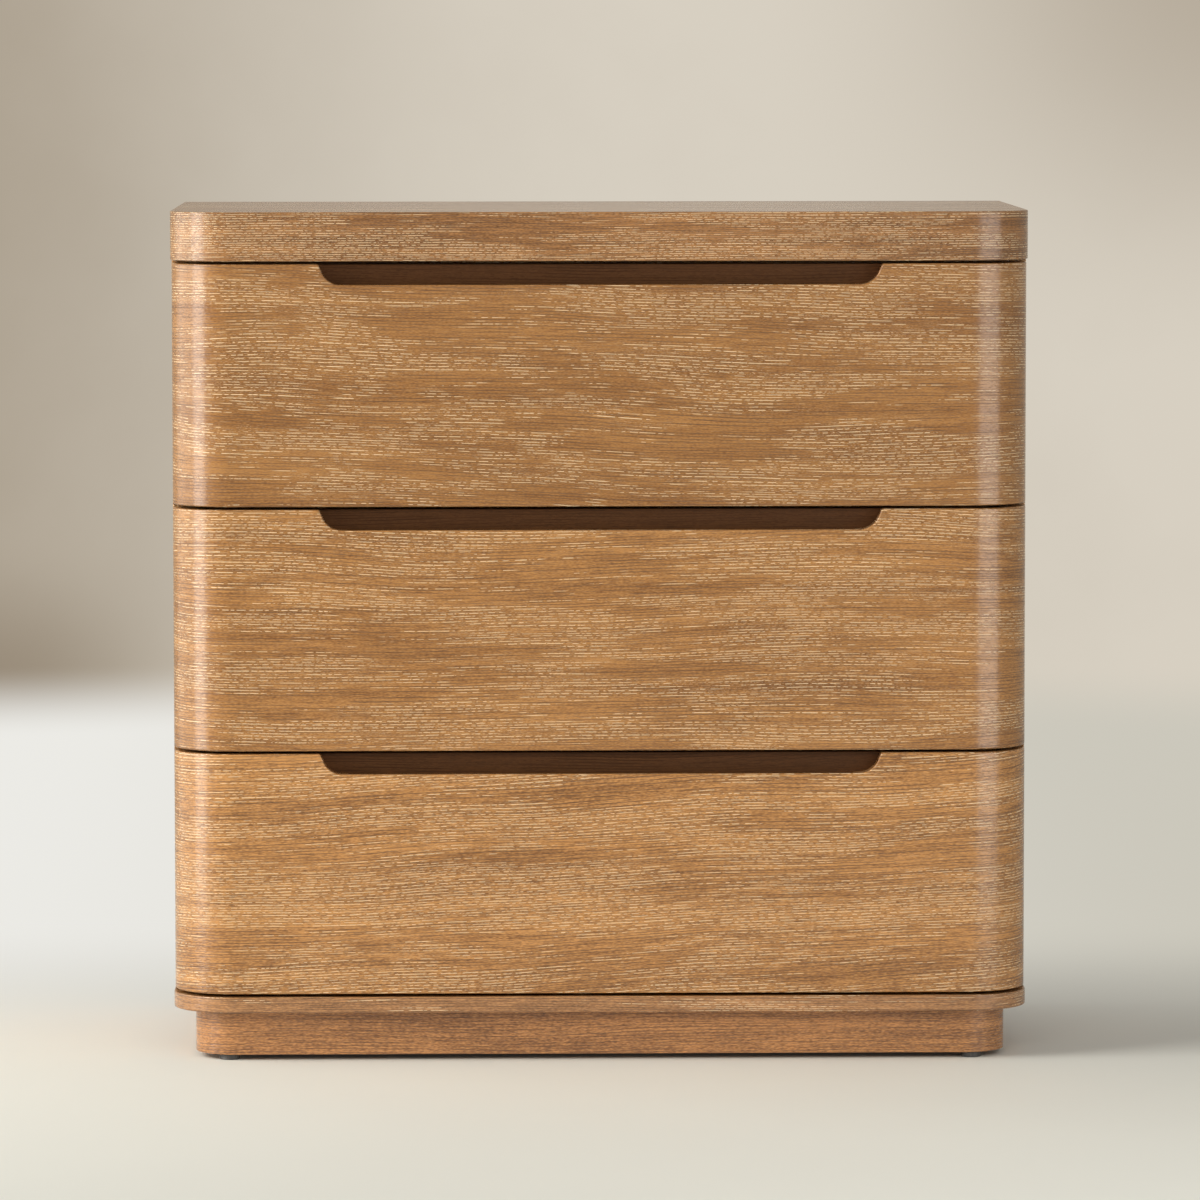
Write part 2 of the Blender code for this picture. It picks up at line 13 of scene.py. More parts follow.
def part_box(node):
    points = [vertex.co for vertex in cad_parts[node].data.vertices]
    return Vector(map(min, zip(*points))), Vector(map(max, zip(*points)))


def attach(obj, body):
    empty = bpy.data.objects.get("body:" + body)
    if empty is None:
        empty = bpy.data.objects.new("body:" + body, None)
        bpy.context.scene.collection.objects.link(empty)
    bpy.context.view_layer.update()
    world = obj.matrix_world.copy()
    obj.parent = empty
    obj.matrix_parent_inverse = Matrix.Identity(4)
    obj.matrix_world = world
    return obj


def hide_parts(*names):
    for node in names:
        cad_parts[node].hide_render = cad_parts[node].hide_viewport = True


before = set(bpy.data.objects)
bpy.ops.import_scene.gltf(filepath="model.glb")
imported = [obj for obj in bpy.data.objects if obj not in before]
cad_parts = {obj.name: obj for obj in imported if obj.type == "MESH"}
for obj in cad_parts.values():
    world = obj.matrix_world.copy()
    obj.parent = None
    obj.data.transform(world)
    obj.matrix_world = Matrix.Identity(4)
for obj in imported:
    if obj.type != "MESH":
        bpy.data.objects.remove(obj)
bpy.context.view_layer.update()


# Plinth. A low recessed base faced in a browner, closer-grained oak than the drawers. Its front
# is laminated round both corners in a mould, and the sides and back are glued up behind it.

CORNER_STEPS = 32
PLINTH_RADIUS = 0.043
PLINTH_WALL = 0.020
PLINTH_EDGE = 0.0012
PLINTH_HONEY = (0.620, 0.285, 0.098)
PLINTH_BROWN = (0.225, 0.093, 0.033)
LIME_CREAM = (1.00, 0.78, 0.48)
NEVER_LIMED = -4.0
# A face is level, or faces straight back, where its normal points that way by more than this
FACING = 0.7
# The slant at which growth rings cross a board, how far they wander and wobble, and how far apart
# two of their lines lie in the pattern, so that they aren't alike
RING_CUT = 0.6
RING_WANDER = 0.0045
RING_WOBBLE = 0.0008
LINE_APART = 3.37
# The pitch of the finer rings between the main ones, and the length of the pores on them
FINE_RING = 0.55
FINE_PORE = 0.40
# How rough the lacquer is, and how deep the wood's relief goes under it
LACQUER_ROUGHNESS = 0.22
OAK_RELIEF = 0.0005
# The marks in oak: length along the grain and width across it, how much finer detail, and seed
OAK_MARKS = {
    "wander": (0.42, 0.20, 1.0, 3.1), "ripple": (0.09, 0.03, 0.0, 8.2),
    "cloud": (0.26, 0.060, 2.0, 1.3), "band": (0.60, 0.009, 3.0, 5.9),
    "patch": (0.22, 0.030, 1.0, 12.4), "cluster": (0.050, 0.010, 1.0, 15.2),
    "hair": (0.022, 0.0011, 0.0, 37.4), "speck": (0.0035, 0.0009, 0.0, 27.9),
    "mottle": (0.006, 0.0018, 1.0, 41.2)}
# Where filler stands on a ring's line, 1 being its crest, and where a bare pore opens between two
LONG_FILL, SHORT_FILL = (0.91, 1.00), (0.84, 1.00)
LONG_PORE, SHORT_PORE = (0.20, 0.00), (0.26, 0.00)


def arc(centre, radius, start, end, steps=CORNER_STEPS):
    """Points on a circle from one angle to another, in degrees, with both ends."""
    turns = [math.radians(start + (end - start) * step / steps) for step in range(steps + 1)]
    return [(centre[0] + radius * math.cos(t), centre[1] + radius * math.sin(t)) for t in turns]


def bent_outline(low, high, radius, wall, hollow_half, hollow_radius=0.0):
    """A panel bent back round both front corners, seen from above, inside a box.

    hollow_half is half the width of the hollow behind it, whose corners may be round too.
    """
    left, front = low[0], low[1]
    right, end = high[0], high[1]
    inner = front + wall
    outline = [(left, end)]
    outline += arc((left + radius, front + radius), radius, 180, 270)
    outline += arc((right - radius, front + radius), radius, 270, 360)
    outline += [(right, end), (hollow_half, end)]
    if hollow_radius:
        turn = hollow_half - hollow_radius
        outline += arc((turn, inner + hollow_radius), hollow_radius, 360, 270)
        outline += arc((-turn, inner + hollow_radius), hollow_radius, 270, 180)
    else:
        outline += [(hollow_half, inner), (-hollow_half, inner)]
    return outline + [(-hollow_half, end)]


def sawn_board(name, outline, low, high):
    """A board sawn to an outline seen from above, between two heights."""
    count = len(outline)
    points = [(x, y, low) for x, y in outline] + [(x, y, high) for x, y in outline]
    faces = [tuple(reversed(range(count))), tuple(range(count, 2 * count))]
    for here in range(count):
        ahead = (here + 1) % count
        faces.append((here, ahead, count + ahead, count + here))
    mesh = bpy.data.meshes.new(name)
    mesh.from_pydata(points, [], faces)
    mesh.shade_smooth()
    board = bpy.data.objects.new(name, mesh)
    bpy.context.scene.collection.objects.link(board)
    return board


def as_made(board):
    """Turns a board and what is done to it into one plain mesh."""
    graph = bpy.context.evaluated_depsgraph_get()
    mesh = bpy.data.meshes.new_from_object(board.evaluated_get(graph))
    board.modifiers.clear()
    blank = board.data
    board.data = mesh
    bpy.data.meshes.remove(blank)
    mesh.name = board.name
    return board


def eased(board, width):
    """Sands a board's edges round and evens out its shading."""
    ease = board.modifiers.new("eased edges", "BEVEL")
    ease.width = width
    ease.segments = 3
    ease.limit_method = "ANGLE"
    ease.angle_limit = math.radians(50)
    ease.use_clamp_overlap = False
    even = board.modifiers.new("even shading", "WEIGHTED_NORMAL")
    even.weight = 100
    return as_made(board)


def lay_grain(board, radius, start, slope=0.0):
    """Lays veneer on a board: a map in metres, first along the grain and then across it.

    The grain runs along the front and on round both front corners, and rises to the right by
    slope. On level faces and at the back it runs straight from side to side.
    """
    mesh = board.data
    xs = [v.co.x for v in mesh.vertices]
    straight = max(xs) - radius
    bend = min(v.co.y for v in mesh.vertices) + radius
    quarter = radius * math.pi / 2
    grain = mesh.uv_layers.new(name="grain")
    for face in mesh.polygons:
        level = abs(face.normal.z) > FACING
        flat = level or face.normal.y > FACING
        for corner in face.loop_indices:
            x, y, z = mesh.vertices[mesh.loops[corner].vertex_index].co
            along = abs(x)
            if not flat and along > straight:
                if y < bend:
                    along = straight + radius * math.atan2(along - straight, bend - y)
                else:
                    along = straight + quarter + y - bend
            along = math.copysign(along, x)
            across = y if level else z - slope * along
            grain.data[corner].uv = (along + start, across)


def put(tree, kind, inputs=None, **settings):
    """Adds a node with its settings. An input is a value or another node's output."""
    node = tree.nodes.new(kind)
    for name, value in settings.items():
        setattr(node, name, value)
    for key, value in (inputs or {}).items():
        if isinstance(value, bpy.types.NodeSocket):
            tree.links.new(value, node.inputs[key])
        else:
            node.inputs[key].default_value = value
    return node


def reckon(tree, operation, *values):
    """A sum on values, of which each is a number or another node's output."""
    return put(tree, "ShaderNodeMath", dict(enumerate(values)), operation=operation).outputs[0]


def sum_of(tree, start, *terms):
    """start plus each value's distance from one half, times its weight."""
    total = start
    for value, weight in terms:
        part = reckon(tree, "MULTIPLY_ADD", value, weight, -weight / 2)
        total = reckon(tree, "ADD", total, part)
    return total


def times(tree, *values):
    """The product of values, of which each is a number or another node's output."""
    total = values[0]
    for value in values[1:]:
        total = reckon(tree, "MULTIPLY", total, value)
    return total


def figure(tree, place, length, width, detail=0.0, seed=0.0):
    """A value that wanders over wood in patches of this length along the grain and this width."""
    laid = put(tree, "ShaderNodeMapping", {
        "Vector": place, "Scale": (1 / length, 1 / width, 1 / width),
        "Location": (seed, 1.7 * seed, 2.3 * seed)})
    noise = put(tree, "ShaderNodeTexNoise", {
        "Vector": laid.outputs[0], "Scale": 1.0, "Detail": detail, "Roughness": 0.55})
    return noise.outputs["Fac"]


def growth_rings(tree, place, pitch, seed=0.0):
    """Fine lines along the grain, 1 on a line and 0 between two, at about this pitch.

    The rings run through a solid board at a slant, so that they show on its edges too. With them
    comes a place that keeps to one line over the line's whole width.
    """
    spread = figure(tree, place, 0.30, 0.014, 0.0, seed)
    wobble = figure(tree, place, 0.050, 0.004, 0.0, seed + 4.4)
    axes = put(tree, "ShaderNodeSeparateXYZ", {0: place}).outputs
    cut = reckon(tree, "MULTIPLY_ADD", axes["Z"], RING_CUT, axes["Y"])
    count = reckon(tree, "DIVIDE",
                   sum_of(tree, cut, (spread, RING_WANDER), (wobble, RING_WOBBLE)), pitch)
    wave = reckon(tree, "SINE", reckon(tree, "MULTIPLY", count, 2 * math.pi))
    line = reckon(tree, "FLOOR", count)
    line_place = put(tree, "ShaderNodeCombineXYZ", {
        "X": axes["X"], "Y": reckon(tree, "MULTIPLY", line, LINE_APART)}).outputs[0]
    return reckon(tree, "MULTIPLY_ADD", wave, 0.5, 0.5), line_place


def step_between(tree, value, low, high):
    """A soft step from 0 at low to 1 at high, of which either may be the larger."""
    return put(tree, "ShaderNodeMapRange", {"Value": value, "From Min": low, "From Max": high},
               interpolation_type="SMOOTHSTEP").outputs["Result"]


def blend_colours(tree, share, first, second):
    """The first colour where share is 0, and the second where it is 1."""
    mix = put(tree, "ShaderNodeMix", {"Factor": share}, data_type="RGBA", clamp_factor=True)
    for socket, colour in ((mix.inputs[6], first), (mix.inputs[7], second)):
        if isinstance(colour, bpy.types.NodeSocket):
            tree.links.new(colour, socket)
        else:
            socket.default_value = (*colour, 1.0)
    return mix.outputs[2]


def grain_place(tree, along):
    """Where a point lies in the wood: along the grain first, then across it."""
    if along == "veneer":
        return put(tree, "ShaderNodeUVMap", uv_map="grain").outputs["UV"]
    across = {"X": "ZY", "Y": "ZX", "Z": "XY"}[along]
    axes = put(tree, "ShaderNodeSeparateXYZ", {
        0: put(tree, "ShaderNodeTexCoord").outputs["Object"]}).outputs
    return put(tree, "ShaderNodeCombineXYZ", {
        "X": axes[along], "Y": axes[across[0]], "Z": axes[across[1]]}).outputs[0]


def oak(name, along, honey, brown, limed=0.0, pores=0.0, fleck=0.0, pore_length=0.006,
        ring=0.0031, sway=0.014, contrast=1.0, roughness=0.42, coat=0.45, gleam=0.5, seed=0.0):
    """Lacquered oak. Pale filler stands in its open pores where limed is high.

    pores is the share of dark, unfilled pores, fleck the strength of a close mottled figure, ring
    the spacing of the growth rings and sway how far the grain wanders.
    """
    finish = bpy.data.materials.new(name)
    finish.use_nodes = True
    tree = finish.node_tree
    place = grain_place(tree, along)

    def mark(kind, where):
        length, width, detail, shift = OAK_MARKS[kind]
        return figure(tree, where, length, width, detail, seed + shift)

    drift = sum_of(tree, 0.0, (mark("wander", place), 2 * sway),
                   (mark("ripple", place), 0.10 * sway))
    lift = put(tree, "ShaderNodeCombineXYZ", {"Y": drift}).outputs[0]
    flow = put(tree, "ShaderNodeVectorMath", {0: place, 1: lift}, operation="ADD").outputs[0]

    cloud, mottle = mark("cloud", place), mark("mottle", place)
    band, patch, cluster = mark("band", flow), mark("patch", flow), mark("cluster", flow)
    hair, speck = mark("hair", flow), mark("speck", flow)

    # Along one ring's line the width doesn't matter, so these marks have a width of 1
    rings, line = growth_rings(tree, flow, ring, seed + 7.7)
    strand = figure(tree, line, 0.060, 1.0, 1.0, seed + 17.8)
    dash = figure(tree, line, pore_length, 1.0, 1.0, seed + 21.5)
    vein = figure(tree, line, 0.070, 1.0, 0.0, seed + 25.6)
    fine_rings, fine_line = growth_rings(tree, flow, FINE_RING * ring, seed + 33.3)
    short_dash = figure(tree, fine_line, FINE_PORE * pore_length, 1.0, 0.0, seed + 44.9)
    nick = figure(tree, fine_line, 0.006, 1.0, 0.0, seed + 29.1)

    limed_here = sum_of(tree, limed, (patch, 3.4), (cluster, 1.6))
    limed_line = sum_of(tree, limed_here, (strand, 2.6))
    long_fill = times(tree, step_between(tree, limed_line, 0.0, 0.30),
                      step_between(tree, rings, *LONG_FILL), step_between(tree, dash, 0.41, 0.51))
    short_fill = times(tree, step_between(tree, limed_here, -0.20, 0.50), 0.34,
                       step_between(tree, fine_rings, *SHORT_FILL),
                       step_between(tree, short_dash, 0.46, 0.58))
    filled = reckon(tree, "MAXIMUM", long_fill, short_fill)
    bare_here = step_between(tree, sum_of(tree, pores, (patch, -3.0)), 0.0, 0.40)
    long_pore = times(tree, reckon(tree, "MULTIPLY_ADD", bare_here, 0.5, 0.5),
                      step_between(tree, rings, *LONG_PORE), step_between(tree, vein, 0.36, 0.52))
    short_pore = times(tree, 0.75, step_between(tree, fine_rings, *SHORT_PORE),
                       step_between(tree, nick, 0.50, 0.62))
    open_pore = reckon(tree, "MAXIMUM", long_pore, short_pore)

    tone = sum_of(tree, 0.60, (cloud, 1.0 * contrast), (band, 1.2 * contrast),
                  (hair, 0.9 * contrast), (speck, 1.3 * contrast), (mottle, fleck))
    colour = blend_colours(tree, tone, brown, honey)
    dark = [0.50 * c for c in brown]
    colour = blend_colours(tree, times(tree, open_pore, 0.85), colour, dark)
    colour = blend_colours(tree, times(tree, filled, 0.95), colour, LIME_CREAM)

    surface = sum_of(tree, 0.0, (hair, 0.35), (open_pore, -0.8), (filled, -0.25), (band, 0.2))
    bump = put(tree, "ShaderNodeBump", {
        "Height": surface, "Strength": 0.42, "Distance": OAK_RELIEF})
    gloss = sum_of(tree, roughness, (hair, 0.10), (open_pore, 0.22), (filled, 0.16))
    lacquer = tree.nodes["Principled BSDF"]
    tree.links.new(colour, lacquer.inputs["Base Color"])
    tree.links.new(gloss, lacquer.inputs["Roughness"])
    lacquer.inputs["Specular IOR Level"].default_value = gleam
    lacquer.inputs["Coat Weight"].default_value = coat
    lacquer.inputs["Coat Roughness"].default_value = LACQUER_ROUGHNESS
    tree.links.new(bump.outputs[0], lacquer.inputs["Normal"])
    return finish


def finish_pieces(names, finish):
    """Gives CAD pieces that keep their shape the finish of the real ones."""
    for name in names:
        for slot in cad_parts[name].material_slots:
            slot.material = finish


def stand_for(board, node, body, finish):
    """A finished board takes its CAD piece's place."""
    board.data.materials.clear()
    board.data.materials.append(finish)
    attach(board, body)
    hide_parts(node)


low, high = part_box("plinth_front")
outline = bent_outline(low, high, PLINTH_RADIUS, PLINTH_WALL, high[0] - PLINTH_WALL,
                       PLINTH_RADIUS - PLINTH_WALL)
bent_plinth = eased(sawn_board("bent_plinth_front", outline, low[2], high[2]), PLINTH_EDGE)
lay_grain(bent_plinth, PLINTH_RADIUS, start=3.1)
plinth_wood = dict(honey=PLINTH_HONEY, brown=PLINTH_BROWN, limed=NEVER_LIMED, pores=0.9,
                   fleck=1.1, pore_length=0.005, seed=4.0)
stand_for(bent_plinth, "plinth_front", "case",
          oak("plinth_veneer", "veneer", **plinth_wood))
finish_pieces(["plinth_side_left", "plinth_side_right"],
              oak("plinth_oak_sides", "Y", **plinth_wood))
finish_pieces(["plinth_back"], oak("plinth_oak_back", "X", **plinth_wood))


# Glue blocks. Three-cornered softwood blocks rubbed into the plinth's corners, each held up to
# the bottom board by one screw. They are planed and left bare.

PINE_PALE = (0.62, 0.43, 0.23)
PINE_LATE = (0.44, 0.24, 0.095)
# A screw's head, the width of its cross, its sides as a polygon, and its crown's share of it
SCREW_RADIUS = 0.0040
SCREW_HEIGHT = 0.0018
SCREW_CROSS = 0.0011
SCREW_SIDES = 20
SCREW_CROWN = 0.62
# How far each block's screw stands towards the plinth's corner
BLOCK_SCREW = 0.70
CORNERS = [f"{end}_{side}" for end in ("front", "back") for side in ("left", "right")]
BLOCKS = [f"corner_block_{corner}" for corner in CORNERS]


def softwood(name, along, pale, late, ring=0.006, roughness=0.62, seed=0.0):
    """Plain planed wood with pale early rings, darker late ones and fine short pores."""
    finish = bpy.data.materials.new(name)
    finish.use_nodes = True
    tree = finish.node_tree
    place = grain_place(tree, along)
    wander = figure(tree, place, 0.5, 0.09, 1.0, seed + 2.2)
    lift = put(tree, "ShaderNodeCombineXYZ", {
        "Y": sum_of(tree, 0.0, (wander, 0.02))}).outputs[0]
    flow = put(tree, "ShaderNodeVectorMath", {0: place, 1: lift}, operation="ADD").outputs[0]
    rings = figure(tree, flow, 0.8, ring, 2.0, seed + 6.1)
    fibre = figure(tree, flow, 0.05, 0.0009, 1.0, seed + 9.4)
    cloud = figure(tree, place, 0.2, 0.06, 1.0, seed + 11.8)
    late_ring = step_between(tree, sum_of(tree, rings, (fibre, 0.15)), 0.42, 0.72)
    share = sum_of(tree, 0.35, (late_ring, 0.75), (fibre, 0.5), (cloud, 0.5))
    colour = blend_colours(tree, share, pale, late)
    bump = put(tree, "ShaderNodeBump", {
        "Height": sum_of(tree, 0.0, (fibre, 0.6), (late_ring, 0.3)), "Strength": 0.2,
        "Distance": 0.0004})
    surface = tree.nodes["Principled BSDF"]
    tree.links.new(colour, surface.inputs["Base Color"])
    tree.links.new(sum_of(tree, roughness, (fibre, 0.15)), surface.inputs["Roughness"])
    tree.links.new(bump.outputs[0], surface.inputs["Normal"])
    return finish


def plated_steel(name, colour, roughness, brushed=0.4):
    """Zinc-plated steel: a faint crystalline mottle over fine rolling marks."""
    finish = bpy.data.materials.new(name)
    finish.use_nodes = True
    tree = finish.node_tree
    place = grain_place(tree, "Y")
    rolling = figure(tree, place, 0.12, 0.0007, 1.0, 3.3)
    spangle = figure(tree, place, 0.009, 0.007, 2.0, 7.1)
    tone = sum_of(tree, 0.5, (spangle, 0.9), (rolling, 0.5))
    bump = put(tree, "ShaderNodeBump", {"Height": rolling, "Strength": 0.12 * brushed,
                                        "Distance": 0.0002})
    surface = tree.nodes["Principled BSDF"]
    surface.inputs["Metallic"].default_value = 1.0
    tree.links.new(blend_colours(tree, tone, [0.82 * c for c in colour], colour),
                   surface.inputs["Base Color"])
    tree.links.new(sum_of(tree, roughness, (rolling, 0.18), (spangle, 0.12)),
                   surface.inputs["Roughness"])
    tree.links.new(bump.outputs[0], surface.inputs["Normal"])
    return finish


def screw_tree(finish):
    """Geometry Nodes for cross-head screws: one on each point, each turned at random."""
    tree = bpy.data.node_groups.new("cross_head_screws", "GeometryNodeTree")
    sockets = tree.interface
    sockets.new_socket("Points", in_out="INPUT", socket_type="NodeSocketGeometry")
    for size, value in (("Head Radius", SCREW_RADIUS), ("Head Height", SCREW_HEIGHT),
                        ("Cross Width", SCREW_CROSS)):
        socket = sockets.new_socket(size, in_out="INPUT", socket_type="NodeSocketFloat")
        socket.default_value = value
    sockets.new_socket("Outward", in_out="INPUT", socket_type="NodeSocketVector")
    sockets.new_socket("Seed", in_out="INPUT", socket_type="NodeSocketInt")
    sockets.new_socket("Screws", in_out="OUTPUT", socket_type="NodeSocketGeometry")
    given = tree.nodes.new("NodeGroupInput").outputs
    half_height = times(tree, given["Head Height"], 0.5)
    rim = put(tree, "GeometryNodeMeshCylinder", {
        "Vertices": SCREW_SIDES, "Radius": given["Head Radius"],
        "Depth": half_height}).outputs["Mesh"]
    low_half = put(tree, "ShaderNodeCombineXYZ", {
        "Z": times(tree, given["Head Height"], 0.25)}).outputs[0]
    rim = put(tree, "GeometryNodeTransform", {"Geometry": rim, "Translation": low_half}).outputs[0]
    crown = put(tree, "GeometryNodeMeshCone", {
        "Vertices": SCREW_SIDES, "Radius Top": times(tree, given["Head Radius"], SCREW_CROWN),
        "Radius Bottom": given["Head Radius"], "Depth": half_height}).outputs["Mesh"]
    raised = put(tree, "ShaderNodeCombineXYZ", {"Z": half_height}).outputs[0]
    crown = put(tree, "GeometryNodeTransform", {
        "Geometry": crown, "Translation": raised}).outputs[0]
    head = put(tree, "GeometryNodeMeshBoolean", operation="UNION", solver="EXACT")
    tree.links.new(rim, head.inputs["Mesh 2"])
    tree.links.new(crown, head.inputs["Mesh 2"])
    bars = put(tree, "GeometryNodeJoinGeometry")
    for turned in (False, True):
        long_way, short_way = ("Y", "X") if turned else ("X", "Y")
        size = put(tree, "ShaderNodeCombineXYZ", {
            long_way: given["Head Radius"], short_way: given["Cross Width"],
            "Z": given["Head Height"]}).outputs[0]
        bar = put(tree, "GeometryNodeMeshCube", {"Size": size}).outputs["Mesh"]
        lift = put(tree, "ShaderNodeCombineXYZ", {"Z": given["Head Height"]}).outputs[0]
        bar = put(tree, "GeometryNodeTransform", {"Geometry": bar, "Translation": lift}).outputs[0]
        tree.links.new(bar, bars.inputs[0])
    cross = put(tree, "GeometryNodeMeshBoolean", operation="UNION", solver="EXACT")
    tree.links.new(bars.outputs[0], cross.inputs["Mesh 2"])
    driven = put(tree, "GeometryNodeMeshBoolean", {
        "Mesh 1": head.outputs["Mesh"], "Mesh 2": cross.outputs["Mesh"]}, operation="DIFFERENCE",
        solver="EXACT")
    facing = put(tree, "FunctionNodeAlignRotationToVector", {"Vector": given["Outward"]},
                 axis="Z").outputs[0]
    turn = put(tree, "FunctionNodeRandomValue", {3: math.pi, "Seed": given["Seed"]},
               data_type="FLOAT").outputs[1]
    spin = put(tree, "FunctionNodeAxisAngleToRotation", {"Angle": turn}).outputs[0]
    turned = put(tree, "FunctionNodeRotateRotation", {0: facing, 1: spin},
                 rotation_space="LOCAL").outputs[0]
    points = put(tree, "GeometryNodeMeshToPoints", {"Mesh": given["Points"]}).outputs[0]
    placed = put(tree, "GeometryNodeInstanceOnPoints", {
        "Points": points, "Instance": driven.outputs["Mesh"], "Rotation": turned}).outputs[0]
    whole = put(tree, "GeometryNodeRealizeInstances", {"Geometry": placed}).outputs[0]
    coated = put(tree, "GeometryNodeSetMaterial", {"Geometry": whole, "Material": finish})
    out = tree.nodes.new("NodeGroupOutput")
    tree.links.new(coated.outputs[0], out.inputs[0])
    return tree


def set_input(modifier, name, value):
    """Sets a Geometry Nodes input by its socket's identifier."""
    for socket in modifier.node_group.interface.items_tree:
        if socket.name == name and socket.in_out == "INPUT":
            modifier[socket.identifier] = value


def drive_screws(name, places, outward, body, seed=0, **sizes):
    """Screw heads at these places, all facing one way, as one piece on a body."""
    mesh = bpy.data.meshes.new(name)
    mesh.from_pydata(places, [], [])
    screws = bpy.data.objects.new(name, mesh)
    bpy.context.scene.collection.objects.link(screws)
    made = screws.modifiers.new("screws", "NODES")
    made.node_group = SCREWS
    set_input(made, "Outward", outward)
    set_input(made, "Seed", seed)
    for size, value in sizes.items():
        set_input(made, size.replace("_", " ").title(), value)
    as_made(screws)
    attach(screws, body)
    return screws


zinc_screw = plated_steel("zinc_screw", (0.60, 0.59, 0.56), 0.36)
SCREWS = screw_tree(zinc_screw)
finish_pieces(BLOCKS, softwood("planed_pine", "X", PINE_PALE, PINE_LATE))
places = []
for block in BLOCKS:
    low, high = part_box(block)
    (near_x, far_x), (near_y, far_y) = (sorted(ends, key=abs) for ends in zip(low[:2], high[:2]))
    places.append((near_x + (far_x - near_x) * BLOCK_SCREW,
                   near_y + (far_y - near_y) * BLOCK_SCREW, low[2]))
drive_screws("block_screws", places, (0, 0, -1), "case", seed=1)


# Glides. Turned discs of black plastic nailed under the plinth's corners, so that the dresser
# stands a few millimetres off the floor. Their moulded skin is fine-grained and matt.

GLIDE_BLACK = (0.050, 0.047, 0.045)


def moulded_plastic(name, colour, roughness):
    """Black plastic with the fine skin of its mould, scuffed paler here and there."""
    finish = bpy.data.materials.new(name)
    finish.use_nodes = True
    tree = finish.node_tree
    place = grain_place(tree, "X")
    skin = figure(tree, place, 0.0006, 0.0006, 2.0, 2.7)
    scuff = figure(tree, place, 0.006, 0.004, 2.0, 5.5)
    surface = tree.nodes["Principled BSDF"]
    tree.links.new(blend_colours(tree, step_between(tree, scuff, 0.45, 0.8), colour,
                                 [2.2 * c for c in colour]), surface.inputs["Base Color"])
    tree.links.new(sum_of(tree, roughness, (skin, 0.15), (scuff, 0.25)),
                   surface.inputs["Roughness"])
    bump = put(tree, "ShaderNodeBump", {"Height": skin, "Strength": 0.15, "Distance": 0.0002})
    tree.links.new(bump.outputs[0], surface.inputs["Normal"])
    return finish


finish_pieces([f"glide_{corner}" for corner in CORNERS],
              moulded_plastic("glide_skin", GLIDE_BLACK, 0.55))


# Bottom board and top. Two boards of one outline with large round front corners: the board that
# the case stands on, and the thick top. Both are lipped in close-grained oak that follows the
# corners round, and their level faces are veneered from side to side.

SLAB_RADIUS = 0.066
SLAB_BACK_RADIUS = 0.003
SLAB_BACK_STEPS = 6
SLAB_EDGE = 0.0012
OAK_HONEY = (0.462, 0.220, 0.068)
OAK_BROWN = (0.222, 0.089, 0.023)
# Veneer lies where a face's normal points up or down by more than this, lipping elsewhere
VENEERED = 0.93
LIPPING_HONEY = (0.445, 0.207, 0.070)
LIPPING_BROWN = (0.150, 0.062, 0.019)
BASE_HONEY = (0.540, 0.265, 0.105)
BASE_BROWN = (0.220, 0.100, 0.038)


def slab_outline(low, high):
    """A slab seen from above: large front corners and nearly square back ones."""
    left, front = low[0], low[1]
    right, back = high[0], high[1]
    big, small = SLAB_RADIUS, SLAB_BACK_RADIUS
    outline = arc((left + big, front + big), big, 180, 270)
    outline += arc((right - big, front + big), big, 270, 360)
    outline += arc((right - small, back - small), small, 0, 90, SLAB_BACK_STEPS)
    outline += arc((left + small, back - small), small, 90, 180, SLAB_BACK_STEPS)
    return outline


def veneer_faces(board, finish):
    """Lays a veneer on a lipped board's level faces."""
    board.data.materials.append(finish)
    for face in board.data.polygons:
        face.material_index = 1 if abs(face.normal.z) > VENEERED else 0


slab_lipping = oak("slab_lipping", "veneer", LIPPING_HONEY, LIPPING_BROWN, limed=0.26, pores=0.30,
                   pore_length=0.0045, ring=0.0024, sway=0.006, contrast=0.9, seed=9.0)
base_lipping = oak("base_lipping", "veneer", BASE_HONEY, BASE_BROWN, limed=-0.1, pores=0.5,
                   fleck=0.6, ring=0.0024, sway=0.006, contrast=0.9, seed=15.0)
limed_veneer = oak("limed_veneer", "veneer", OAK_HONEY, OAK_BROWN, limed=0.18, pores=0.20)
for node, name, start, lipping in (
        ("bottom_board", "round_cornered_bottom_board", 8.3, base_lipping),
        ("top_panel", "round_cornered_top", 5.2, slab_lipping)):
    low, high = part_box(node)
    slab = eased(sawn_board(name, slab_outline(low, high), low[2], high[2]), SLAB_EDGE)
    lay_grain(slab, SLAB_RADIUS, start)
    stand_for(slab, node, "case", lipping)
    veneer_faces(slab, limed_veneer)


# Case sides and rails. Boards veneered both sides, with the grain level so that it meets the
# drawer fronts. They are dowelled between the top and the bottom board.

case_oak = dict(honey=OAK_HONEY, brown=OAK_BROWN, limed=0.20, pores=0.20)
finish_pieces(["side_panel_left", "side_panel_right"], oak("side_oak", "Y", seed=2.0, **case_oak))
finish_pieces(["front_rail_top", "front_rail_upper", "front_rail_lower", "rear_rail_top"],
              oak("rail_oak", "X", seed=6.0, **case_oak))


# Back. One thin oak-veneered panel that lies in rebates in the sides, with the grain upright. It
# is screwed all round its edge, and into the rear rail.

BACK_HONEY = (0.40, 0.215, 0.098)
BACK_BROWN = (0.27, 0.135, 0.055)
BACK_SCREW_INSET = 0.007
BACK_SCREW_SPACING = 0.150

